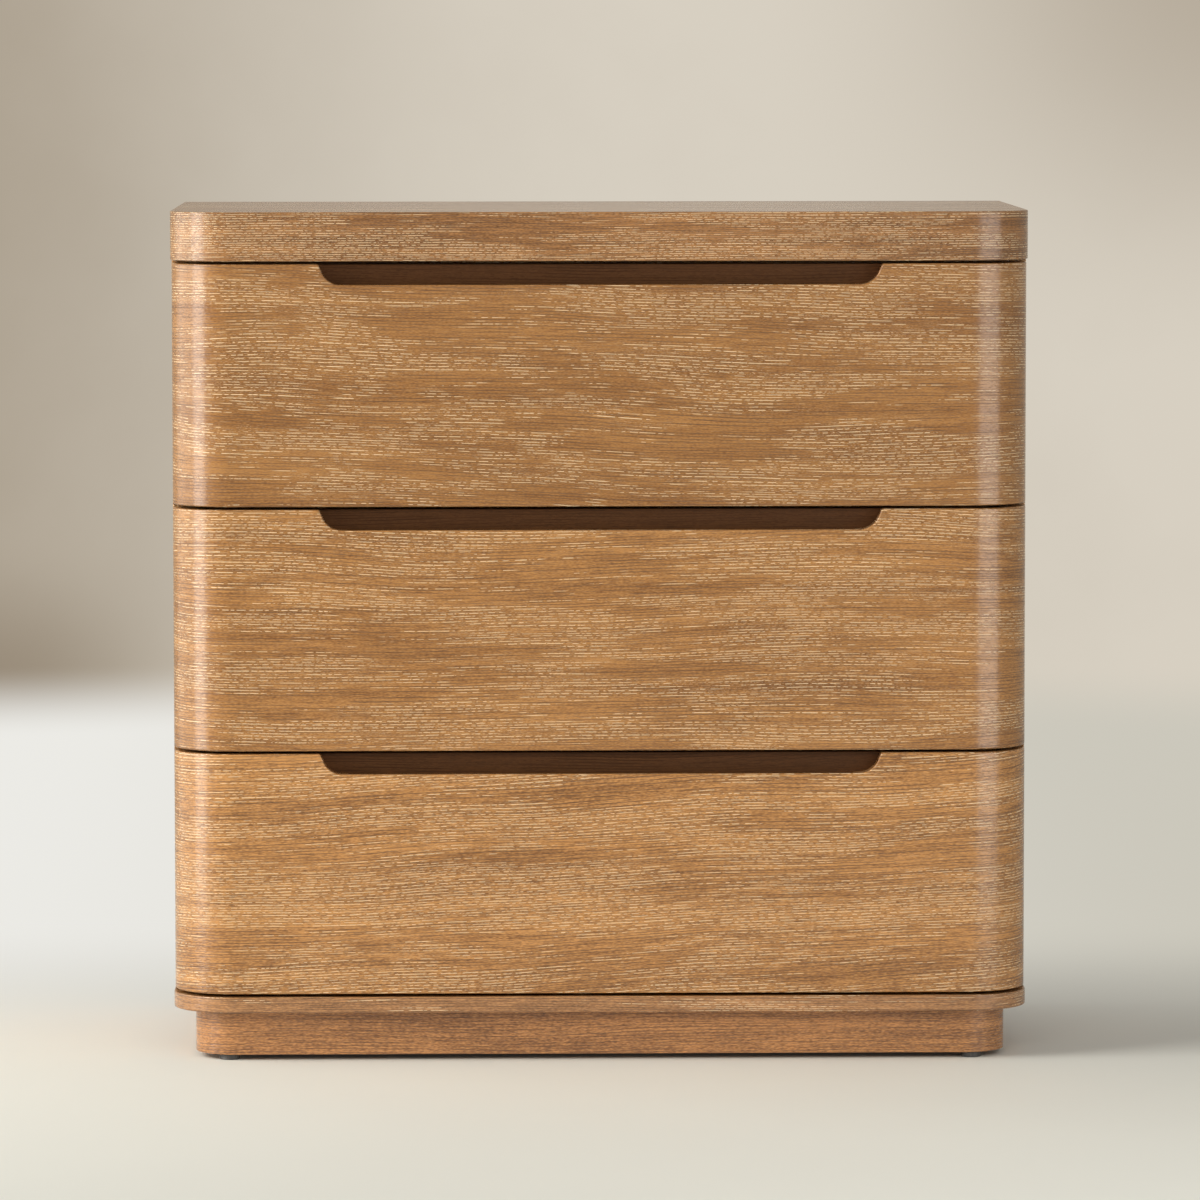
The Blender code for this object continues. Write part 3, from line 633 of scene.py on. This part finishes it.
finish_pieces(["back_panel"], oak("back_veneer", "Z", BACK_HONEY, BACK_BROWN, limed=-1.5,
                                  pores=0.25, contrast=0.8, roughness=0.55, seed=13.0))
low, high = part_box("back_panel")
places = []
left, right = low[0] + BACK_SCREW_INSET, high[0] - BACK_SCREW_INSET
foot, head = low[2] + BACK_SCREW_INSET, high[2] - BACK_SCREW_INSET
across_count = round((right - left) / BACK_SCREW_SPACING)
up_count = round((head - foot) / BACK_SCREW_SPACING)
for step in range(across_count + 1):
    x = left + (right - left) * step / across_count
    places += [(x, high[1], foot), (x, high[1], head)]
for step in range(1, up_count):
    z = foot + (head - foot) * step / up_count
    places += [(left, high[1], z), (right, high[1], z)]
drive_screws("back_screws", places, (0, 1, 0), "case", seed=2, head_radius=0.0032,
             head_height=0.0010, cross_width=0.0009)


# Runners. Three zinc-plated channels of rolled steel, one inside the other. The outer one is
# screwed to the case side and the inner one to the drawer, each by three screws.

RUNNER_WALL = 0.0012
SCREW_MARGIN = 0.035
LEVELS = ("lower", "middle", "upper")
SIDES = {"left": -1, "right": 1}

runner_steel = plated_steel("runner_steel", (0.62, 0.62, 0.60), 0.30)
finish_pieces([f"runner_{channel}_{side}_{level}" for channel in ("case", "middle", "drawer")
               for side in SIDES for level in LEVELS], runner_steel)
for channel, body, turned in (("case", "case", -1), ("drawer", "drawer_{}", 1)):
    for side, outward in SIDES.items():
        for level in LEVELS:
            low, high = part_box(f"runner_{channel}_{side}_{level}")
            middle, height = (low[1] + high[1]) / 2, (low[2] + high[2]) / 2
            reach = (high[1] - low[1]) / 2 - SCREW_MARGIN
            facing = outward * turned
            face = (low[0] if facing > 0 else high[0]) + facing * RUNNER_WALL
            places = [(face, middle + shift, height) for shift in (-reach, 0.0, reach)]
            drive_screws(f"runner_{channel}_screws_{side}_{level}", places, (facing, 0, 0),
                         body.format(level), seed=3, head_radius=0.0034, head_height=0.0010,
                         cross_width=0.0009)


# Drawer boxes. Pale solid sides and back with a clear lacquer, a thin bottom in grooves, and an
# oak front that stands taller and shows through the finger pull, where its face is painted nearly
# black as painted shade. Glue and dowels hold the corners.

# The face that shows through the finger pull is painted nearly black: painted shade for the recess
PAINTED_PULL_SHADE_HONEY = (0.112, 0.044, 0.013)
PAINTED_PULL_SHADE_BROWN = (0.066, 0.025, 0.007)
# How much paler the oak is where it has no painted shade
WITHOUT_PAINTED_PULL_SHADE = (4.6, 6.2, 11.0)
PAINTED_PULL_SHADE_EDGE = 0.0005
FRONT_SCREW_SPREAD = 0.36
FRONT_SCREW_HEIGHTS = (0.05, 0.16)

maple = dict(pale=(0.66, 0.48, 0.30), late=(0.55, 0.37, 0.21), ring=0.010, roughness=0.48)
side_maple = softwood("side_maple", "Y", seed=1.0, **maple)
end_maple = softwood("end_maple", "X", seed=5.0, **maple)


def pull_oak_with_painted_shade(name, behind, below):
    """Oak painted nearly black as painted shade in front of one plane and above another, and left
    pale past both.
    """
    finish = oak(name, "X", PAINTED_PULL_SHADE_HONEY, PAINTED_PULL_SHADE_BROWN, limed=NEVER_LIMED, contrast=0.6,
                 roughness=0.65, coat=0.0, gleam=0.2, seed=21.0)
    tree = finish.node_tree
    base = tree.nodes["Principled BSDF"].inputs["Base Color"]
    painted_pull_shade = base.links[0].from_socket
    unshaded_oak = put(tree, "ShaderNodeVectorMath", {0: painted_pull_shade, 1: WITHOUT_PAINTED_PULL_SHADE},
               operation="MULTIPLY").outputs[0]
    axes = put(tree, "ShaderNodeSeparateXYZ", {
        0: put(tree, "ShaderNodeTexCoord").outputs["Object"]}).outputs
    # Painted shade covers the face in front of one plane and the top edge above another
    inside = times(tree, step_between(tree, axes["Y"], behind, behind + PAINTED_PULL_SHADE_EDGE),
                   step_between(tree, axes["Z"], below, below - PAINTED_PULL_SHADE_EDGE))
    tree.links.new(blend_colours(tree, inside, painted_pull_shade, unshaded_oak), base)
    return finish


for level in LEVELS:
    finish_pieces([f"drawer_side_{side}_{level}" for side in SIDES], side_maple)
    finish_pieces([f"drawer_back_{level}", f"drawer_bottom_{level}"], end_maple)
    low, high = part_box(f"drawer_box_front_{level}")
    finish_pieces([f"drawer_box_front_{level}"],
                  pull_oak_with_painted_shade(f"pull_oak_{level}", low[1] + 2 * PAINTED_PULL_SHADE_EDGE, high[2] - PAINTED_PULL_SHADE_EDGE))
    places = [(x, high[1], low[2] + height)
              for x in (-FRONT_SCREW_SPREAD, 0.0, FRONT_SCREW_SPREAD)
              for height in FRONT_SCREW_HEIGHTS]
    drive_screws(f"front_screws_{level}", places, (0, 1, 0), f"drawer_{level}", seed=4)


# Drawer fronts. Thick oak-faced panels moulded round both corners, with the grain running on
# round them. A long dip is routed out of the top edge as a finger pull, undercut from behind.

FRONT_RADIUS = 0.0645
FRONT_WALL = 0.020
FRONT_EDGE = 0.0016
POCKET_HALF = 0.4256
PULL_WIDTH = 0.597
PULL_DEPTH = 0.022
PULL_SLOPE = math.radians(23)
PULL_LIP_RADIUS = 0.003
LIP_THICKNESS = 0.008
UNDERCUT_DROP = 0.016
UNDERCUT_RADIUS = 0.005
UNDERCUT_HALF = 0.2685
# Each front has a leaf of veneer of its own: its depth of colour, which is partly the leaf's own
# tone and partly painted light that makes the lower fronts brighter, how limed it is, the grain's
# rise to the right, and the place in the log
LEAVES = {"lower": (1.28, 0.34, 0.045, 1.0), "middle": (1.08, 0.20, 0.0, 2.0),
          "upper": (0.94, 0.18, -0.020, 3.0)}


def rounded(before, corner, after, radius, steps):
    """The arc that rounds a corner off, on the way from one point to another."""
    corner = Vector(corner)
    back = (Vector(before) - corner).normalized()
    ahead = (Vector(after) - corner).normalized()
    half_angle = back.angle(ahead) / 2
    centre = corner + (back + ahead).normalized() * radius / math.sin(half_angle)
    start = corner + back * radius / math.tan(half_angle) - centre
    end = corner + ahead * radius / math.tan(half_angle) - centre
    return [tuple(centre + radius * start.slerp(end, step / steps)) for step in range(steps + 1)]


def pull_outline():
    """The finger pull from the front, its top edge at height 0."""
    top = (PULL_WIDTH / 2, 0.0)
    foot = (PULL_WIDTH / 2 - PULL_DEPTH * math.tan(PULL_SLOPE), -PULL_DEPTH)
    right = rounded((0.0, -PULL_DEPTH), foot, top, PULL_DEPTH, steps=20)
    right += rounded(foot, top, (PULL_WIDTH, 0.0), PULL_LIP_RADIUS, steps=10)
    # The last point moves on past the top edge, so that the cut leaves no sliver there
    (x, z), (end_x, end_z) = right[-2:]
    right[-1] = (2 * end_x - x, 2 * end_z - z)
    right.append((right[-1][0], PULL_DEPTH))
    return right + [(-x, z) for x, z in reversed(right)]


def undercut_outline():
    """The undercut from the side, behind a front's face at 0."""
    low = -PULL_DEPTH - UNDERCUT_DROP
    back = 2 * FRONT_WALL
    cove = rounded((LIP_THICKNESS, 0.0), (LIP_THICKNESS, low), (back, low), UNDERCUT_RADIUS,
                   steps=8)
    outline = [(LIP_THICKNESS, -PULL_DEPTH / 2)] + cove + [(back, low), (back, -PULL_DEPTH / 2)]
    return outline


def rout(board, name, outline, half_length, turn, place):
    """Cuts a shape out of a board: an outline run along a line through a place."""
    bit = sawn_board(name, outline, -half_length, half_length)
    bit.data.transform(Matrix.Translation(place) @ turn)
    cut = board.modifiers.new(name, "BOOLEAN")
    cut.operation = "DIFFERENCE"
    cut.solver = "EXACT"
    cut.object = bit
    return bit


# Turns that lay a cut's line along the dresser's depth, and along its width
ALONG_Y = Matrix(((1, 0, 0, 0), (0, 0, -1, 0), (0, 1, 0, 0), (0, 0, 0, 1)))
ALONG_X = Matrix(((0, 0, 1, 0), (1, 0, 0, 0), (0, 1, 0, 0), (0, 0, 0, 1)))
for level, (tone_and_painted_light, limed, slope, seed) in LEAVES.items():
    low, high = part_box(f"drawer_front_{level}")
    outline = bent_outline(low, high, FRONT_RADIUS, FRONT_WALL, POCKET_HALF)
    front = sawn_board(f"moulded_front_{level}", outline, low[2], high[2])
    bits = [
        rout(front, "finger pull", pull_outline(), 2 * FRONT_WALL, ALONG_Y,
             (0, low[1], high[2])),
        rout(front, "undercut", undercut_outline(), UNDERCUT_HALF, ALONG_X,
             (0, low[1], high[2])),
    ]
    eased(front, FRONT_EDGE)
    for bit in bits:
        bpy.data.objects.remove(bit)
    lay_grain(front, FRONT_RADIUS, seed, slope)
    # The leaf's honey is scaled by a depth that is partly its own tone and partly painted light,
    # brighter on the lower fronts
    leaf = oak(f"limed_leaf_{level}", "veneer", [tone_and_painted_light * c for c in OAK_HONEY], OAK_BROWN,
               limed=limed, pores=0.20, seed=seed)
    stand_for(front, f"drawer_front_{level}", f"drawer_{level}", leaf)


# Standing place. A pale floor that ends softly in a pale backdrop, which is the world's colour. It
# takes the dresser's shadow. Painted shade darkens the floor in front on the left and the
# backdrop's foot on the left, and a painted glow behind the dresser lightens the far part of the
# shadow.

FLOOR_RADIUS = 3.95
FLOOR_CORNERS = 64
FLOOR_COLOUR = (0.830, 0.825, 0.745)
# How much darker and paler it is in places at random, and how dark its painted shade is
WORN, CLEAN, PAINTED_SHADE = 0.96, 1.03, 0.72
# Painted shade darkens the floor round a spot in front on the left: its place, and where it starts
# and ends
PAINTED_SHADE_SPOT = (-1.6, -2.8, 0.0)
PAINTED_SHADE_WITHIN, PAINTED_SHADE_UP_TO = 1.4, 3.0
# Behind the dresser the camera sees a painted glow instead of the lit floor, from in front to
# behind and from left to right: painted light, lighter on the left and darker on the right, that
# also lightens the far part of the dresser's shadow
PAINTED_GLOW_FROM, PAINTED_GLOW_SIDEWAYS = (-0.25, 0.95), (-0.9, 0.9)
PAINTED_GLOW_LEFT = (0.840, 0.830, 0.790)
PAINTED_GLOW_RIGHT = (0.600, 0.575, 0.500)
WALL_LEFT = (0.370, 0.310, 0.235)
WALL_RIGHT = (0.680, 0.625, 0.535)
# Painted shade at the foot of the backdrop on the left, where it meets the floor
PAINTED_WALL_FOOT_SHADE = (0.320, 0.263, 0.197)
WALL_CORNER = (0.470, 0.410, 0.330)
WALL_BESIDE = (0.420, 0.365, 0.295)
# Where the wall changes its tone: parts of a view direction of length 1, sideways and upwards
BRIGHTER_SIDEWAYS = (-0.105, 0.028)
FOOT_UPWARDS, FOOT_SIDEWAYS = (-0.072, -0.092), (-0.035, -0.068)
CORNER_UPWARDS, CORNER_SIDEWAYS = (-0.050, 0.010), (0.040, 0.110)
BESIDE_AHEAD = (0.985, 0.90)
# The light that comes from all round, seen by nothing but what it lights
DAYLIGHT = (0.98, 0.99, 1.0, 1.0)
DAYLIGHT_STRENGTH = 0.28

floor_mesh = bpy.data.meshes.new("floor")
rim = arc((0, 0), 3 * FLOOR_RADIUS, 0, 360 - 360 / FLOOR_CORNERS, FLOOR_CORNERS - 1)
floor_mesh.from_pydata([(x, y, 0.0) for x, y in rim], [], [tuple(range(FLOOR_CORNERS))])
floor = bpy.data.objects.new("floor", floor_mesh)
bpy.context.scene.collection.objects.link(floor)
pale_floor = bpy.data.materials.new("pale_floor")
pale_floor.use_nodes = True
tree = pale_floor.node_tree
matt = tree.nodes["Principled BSDF"]
where = put(tree, "ShaderNodeTexCoord").outputs["Object"]
worn = put(tree, "ShaderNodeTexNoise", {"Vector": where, "Scale": 1.7, "Detail": 4.0})
tint = blend_colours(tree, worn.outputs["Fac"], [WORN * c for c in FLOOR_COLOUR],
                     [CLEAN * c for c in FLOOR_COLOUR])
# Painted shade: the floor is darker round a spot in front on the left
painted_shade_distance = put(tree, "ShaderNodeVectorMath", {0: where, 1: PAINTED_SHADE_SPOT},
                operation="DISTANCE").outputs["Value"]
tint = blend_colours(tree, step_between(tree, painted_shade_distance, PAINTED_SHADE_UP_TO, PAINTED_SHADE_WITHIN), tint,
                     [PAINTED_SHADE * c for c in FLOOR_COLOUR])
tree.links.new(tint, matt.inputs["Base Color"])
matt.inputs["Roughness"].default_value = 0.75
matt.inputs["Specular IOR Level"].default_value = 0.2
axes = put(tree, "ShaderNodeSeparateXYZ", {0: where}).outputs
seen = put(tree, "ShaderNodeLightPath").outputs["Is Camera Ray"]
# Painted light: a glow for the camera behind the dresser, lighter on the left and darker on the
# right, fading in over the far part of the shadow
painted_glow_tone = blend_colours(tree, step_between(tree, axes["X"], *PAINTED_GLOW_SIDEWAYS), PAINTED_GLOW_LEFT, PAINTED_GLOW_RIGHT)
painted_glow = put(tree, "ShaderNodeEmission", {"Color": painted_glow_tone}).outputs[0]
painted_glow_share = times(tree, step_between(tree, axes["Y"], *PAINTED_GLOW_FROM), seen)
whole = put(tree, "ShaderNodeMixShader", {0: painted_glow_share, 1: matt.outputs[0], 2: painted_glow}).outputs[0]
away = put(tree, "ShaderNodeVectorMath", {0: where}, operation="LENGTH").outputs["Value"]
gone = step_between(tree, away, 0.84 * FLOOR_RADIUS, 1.16 * FLOOR_RADIUS)
clear = put(tree, "ShaderNodeBsdfTransparent").outputs[0]
ending = put(tree, "ShaderNodeMixShader", {0: gone, 1: whole, 2: clear})
tree.links.new(ending.outputs[0], tree.nodes["Material Output"].inputs["Surface"])
floor_mesh.materials.append(pale_floor)

world = bpy.data.worlds.new("pale_studio")
bpy.context.scene.world = world
world.use_nodes = True
tree = world.node_tree
seen = put(tree, "ShaderNodeLightPath").outputs
direction = put(tree, "ShaderNodeTexCoord").outputs["Generated"]
sideways, ahead, upwards = put(tree, "ShaderNodeSeparateXYZ", {0: direction}).outputs
plaster = put(tree, "ShaderNodeTexNoise", {"Vector": direction, "Scale": 30.0, "Detail": 5.0})
across = sum_of(tree, step_between(tree, sideways, *BRIGHTER_SIDEWAYS),
                (plaster.outputs["Fac"], 0.30))
backdrop = blend_colours(tree, across, WALL_LEFT, WALL_RIGHT)
# Painted shade: the backdrop darkens towards its foot on the left
foot = times(tree, step_between(tree, upwards, *FOOT_UPWARDS),
             step_between(tree, sideways, *FOOT_SIDEWAYS))
backdrop = blend_colours(tree, foot, backdrop, PAINTED_WALL_FOOT_SHADE)
corner = times(tree, step_between(tree, upwards, *CORNER_UPWARDS),
               step_between(tree, sideways, *CORNER_SIDEWAYS))
backdrop = blend_colours(tree, corner, backdrop, WALL_CORNER)
beside = step_between(tree, ahead, *BESIDE_AHEAD)
backdrop = blend_colours(tree, beside, backdrop, WALL_BESIDE)
straight_on = reckon(tree, "MAXIMUM", seen["Is Camera Ray"], seen["Is Glossy Ray"])
straight_on = reckon(tree, "MAXIMUM", straight_on, seen["Is Transmission Ray"])
daylight = put(tree, "ShaderNodeBackground", {"Color": DAYLIGHT, "Strength": DAYLIGHT_STRENGTH})
shown = put(tree, "ShaderNodeBackground", {"Color": backdrop, "Strength": 1.0})
sky = put(tree, "ShaderNodeMixShader", {
    0: straight_on, 1: daylight.outputs[0], 2: shown.outputs[0]})
tree.links.new(sky.outputs[0], tree.nodes["World Output"].inputs["Surface"])


# Studio light. A large soft box high on the left lights the front and throws the shadow to the
# right, and weaker ones fill in from the sides and the front. Boxes that show only in the
# lacquer draw the pale stripes down the rounded corners.

LAMP_COLOUR = (1.0, 0.985, 0.955)


def soft_lamp(name, place, aim, size, power, gleam=True, light=True):
    """A soft box. Without gleam it isn't mirrored in the lacquer, and without light it only is."""
    lamp = bpy.data.lights.new(name, "AREA")
    lamp.shape = "RECTANGLE"
    lamp.size, lamp.size_y = size
    lamp.energy = power
    lamp.color = LAMP_COLOUR
    stand = bpy.data.objects.new(name, lamp)
    stand.location = place
    stand.rotation_euler = (Vector(aim) - Vector(place)).to_track_quat("-Z", "Y").to_euler()
    stand.visible_camera = False
    stand.visible_glossy = gleam
    stand.visible_diffuse = light
    bpy.context.scene.collection.objects.link(stand)


soft_lamp("high_left_lamp", (-3.4, -1.6, 2.7), (0, -0.2, 0.45), (2.2, 2.0), 102)
soft_lamp("low_left_lamp", (-2.45, -1.1, 0.85), (-0.45, -0.2, 0.45), (1.1, 1.1), 22, gleam=False)
soft_lamp("left_gleam", (-1.78, -0.80, 0.54), (-0.42, -0.2, 0.54), (0.65, 1.05), 11, light=False)
soft_lamp("left_side_gleam", (-1.95, 0.35, 0.54), (-0.45, -0.1, 0.54), (1.4, 1.05), 4, light=False)
soft_lamp("left_panel", (-2.6, 0.1, 1.15), (0, 0.1, 0.6), (2.0, 1.4), 12)
soft_lamp("right_panel", (1.9, -2.2, 0.9), (0.45, -0.2, 0.45), (1.1, 1.5), 10, gleam=False)
soft_lamp("right_gleam", (1.42, -1.32, 0.54), (0.42, -0.2, 0.54), (1.10, 1.05), 10, light=False)
soft_lamp("front_lamp", (0.2, -2.7, 1.35), (0, -0.2, 0.35), (2.4, 0.5), 19, gleam=False)


# Camera. At the height of a standing chest, almost straight in front, looking slightly down
# through a long lens.

SENSOR = 36.0
LENS = 209.774
EYE_PLACE = (-0.1449, -7.6195, 1.0971)
TILT, PAN, ROLL = (math.radians(angle) for angle in (4.6585, 1.1153, -0.0517))

eye = bpy.data.cameras.new("camera")
eye.sensor_width = SENSOR
eye.lens = LENS
camera = bpy.data.objects.new("camera", eye)
bpy.context.scene.collection.objects.link(camera)
camera.matrix_world = (Matrix.Translation(EYE_PLACE) @ Matrix.Rotation(-PAN, 4, "Z")
                       @ Matrix.Rotation(math.pi / 2 - TILT, 4, "X")
                       @ Matrix.Rotation(ROLL, 4, "Z"))
bpy.context.scene.camera = camera
bpy.context.scene.view_settings.view_transform = "Standard"
